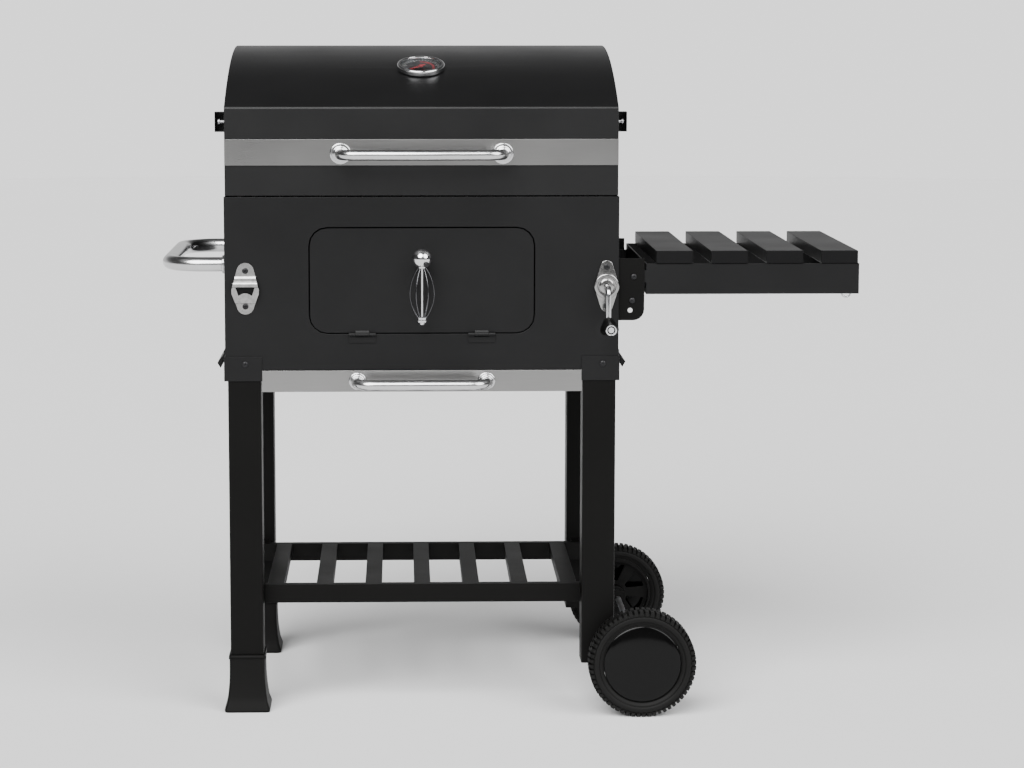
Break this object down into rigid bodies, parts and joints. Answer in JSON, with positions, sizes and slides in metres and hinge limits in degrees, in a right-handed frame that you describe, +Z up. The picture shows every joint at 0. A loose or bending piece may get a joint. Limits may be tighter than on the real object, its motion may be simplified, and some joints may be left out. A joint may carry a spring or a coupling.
{
  "type": "charcoal grill cart",
  "caption": "Wheeled charcoal grill with a round-backed hinged lid, front fuel door, ash drawer, pan-lifting crank, slatted fold-down side shelf and slatted lower rack.",
  "frame": {"origin": "bottom centre of the bounding box, on the floor", "axes": "+X to the cart's right, where the shelf and wheels are, +Y to the back, +Z up; the door faces -Y"},
  "size_m": [1.1653, 0.602, 1.0892],
  "materials": {
    "enamel": "satin black heat-resistant coating",
    "frame_paint": "satin black powder coat",
    "stainless": "brushed stainless steel",
    "chrome": "polished chrome plate",
    "zinc": "zinc-plated steel",
    "cast_iron": "matt enamelled iron",
    "plastic": "moulded black plastic",
    "tyre": "hard black tyre",
    "glass": "clear dial glass",
    "needle": "red dial needle"
  },
  "bodies": {
    "cart": {"firebox": "enamel", "leg_front_left": "frame_paint", "leg_front_right": "frame_paint", "leg_back_left": "frame_paint", "leg_back_right": "frame_paint", "leg_bracket_front_left": "enamel", "leg_bracket_front_right": "enamel", "leg_bracket_back_left": "enamel", "leg_bracket_back_right": "enamel", "foot_front": "plastic", "foot_back": "plastic", "wheel_axle": "zinc", "axle_bracket_front": "frame_paint", "axle_bracket_back": "frame_paint", "bottom_rack": "frame_paint", "side_handle": "chrome", "bottle_opener": "stainless", "crank_plate": "stainless", "shelf_bracket_front": "enamel", "shelf_bracket_back": "enamel", "cooking_grate_left": "cast_iron", "cooking_grate_right": "cast_iron", "lid_hinge_bracket_left": "zinc", "lid_hinge_bracket_right": "zinc", "door_hinge_left": "enamel", "door_hinge_right": "enamel"},
    "lid": {"lid_shell": "enamel", "lid_strip": "stainless", "lid_handle": "chrome", "thermometer_case": "chrome", "thermometer_glass": "glass", "lid_hinge_leaf_left": "zinc", "lid_hinge_leaf_right": "zinc"},
    "needle": {"thermometer_needle": "needle"},
    "damper_left": {"lid_vent_left": "enamel"},
    "damper_right": {"lid_vent_right": "enamel"},
    "flap_left": {"air_flap_left": "enamel"},
    "flap_right": {"air_flap_right": "enamel"},
    "door": {"fire_door": "enamel"},
    "latch": {"door_latch": "chrome"},
    "drawer": {"ash_tray": "zinc", "drawer_front": "stainless", "drawer_handle": "chrome"},
    "crank": {"crank_rod": "chrome", "lift_pinion": "zinc"},
    "grip": {"crank_grip": "plastic"},
    "pan": {"charcoal_pan": "cast_iron", "lift_rack": "zinc"},
    "wheel_front": {"tyre_front": "tyre", "wheel_hub_front": "plastic", "wheel_cap_front": "plastic"},
    "wheel_back": {"tyre_back": "tyre", "wheel_hub_back": "plastic", "wheel_cap_back": "plastic"},
    "shelf": {"shelf_frame": "enamel", "shelf_slat_1": "frame_paint", "shelf_slat_2": "frame_paint", "shelf_slat_3": "frame_paint", "shelf_slat_4": "frame_paint", "hook_rail": "chrome"}
  },
  "joints": [
    {"name": "lid_hinge", "type": "hinge", "parent": "cart", "child": "lid", "pos_m": [-0.15375, 0.2495, 0.851], "axis": [-1, 0, 0], "range_deg": [0, 86]},
    {"name": "thermometer_needle_turn", "type": "hinge", "parent": "lid", "child": "needle", "pos_m": [-0.15375, -0.071, 1.05293], "axis": [0, -0.3164, 0.9486], "range_deg": [-250, 0], "stiffness_Nm_per_rad": 0.001},
    {"name": "damper_left_turn", "type": "hinge", "parent": "lid", "child": "damper_left", "pos_m": [-0.47205, -0.071, 0.966], "axis": [1, 0, 0], "range_deg": [0, 45]},
    {"name": "damper_right_turn", "type": "hinge", "parent": "lid", "child": "damper_right", "pos_m": [0.16455, -0.071, 0.966], "axis": [1, 0, 0], "range_deg": [0, 45]},
    {"name": "air_flap_left_hinge", "type": "hinge", "parent": "cart", "child": "flap_left", "pos_m": [-0.47775, 0.019, 0.59], "axis": [0, 1, 0], "range_deg": [-20, 35]},
    {"name": "air_flap_right_hinge", "type": "hinge", "parent": "cart", "child": "flap_right", "pos_m": [0.17025, 0.019, 0.59], "axis": [0, -1, 0], "range_deg": [-20, 35]},
    {"name": "fire_door_hinge", "type": "hinge", "parent": "cart", "child": "door", "pos_m": [-0.15375, -0.2048, 0.6265], "axis": [1, 0, 0], "range_deg": [0, 97]},
    {"name": "door_latch_turn", "type": "hinge", "parent": "door", "child": "latch", "pos_m": [-0.15375, -0.231, 0.752], "axis": [0, 1, 0], "range_deg": [0, 90]},
    {"name": "ash_drawer_slide", "type": "slide", "parent": "cart", "child": "drawer", "axis": [0, -1, 0], "range_m": [0, 0.3]},
    {"name": "crank_turn", "type": "hinge", "parent": "cart", "child": "crank", "pos_m": [0.14625, -0.201, 0.7045], "axis": [0, 1, 0], "range_deg": [0, 477.6]},
    {"name": "crank_grip_spin", "type": "hinge", "parent": "crank", "child": "grip", "pos_m": [0.14625, -0.277, 0.644], "axis": [0, 1, 0], "continuous": true},
    {"name": "pan_lift", "type": "slide", "parent": "cart", "child": "pan", "axis": [0, 0, 1], "range_m": [0, 0.1]},
    {"name": "wheel_front_spin", "type": "hinge", "parent": "cart", "child": "wheel_front", "pos_m": [0.20525, -0.236, 0.088], "axis": [0, 1, 0], "continuous": true},
    {"name": "wheel_back_spin", "type": "hinge", "parent": "cart", "child": "wheel_back", "pos_m": [0.20525, 0.279, 0.088], "axis": [0, 1, 0], "continuous": true},
    {"name": "side_shelf_fold", "type": "hinge", "parent": "cart", "child": "shelf", "pos_m": [0.19085, -0.006, 0.719], "axis": [0, 1, 0], "range_deg": [0, 69]}
  ],
  "couplings": [
    {"joint": "crank_turn", "follows": "pan_lift", "rad_per_m": 83.333}
  ]
}
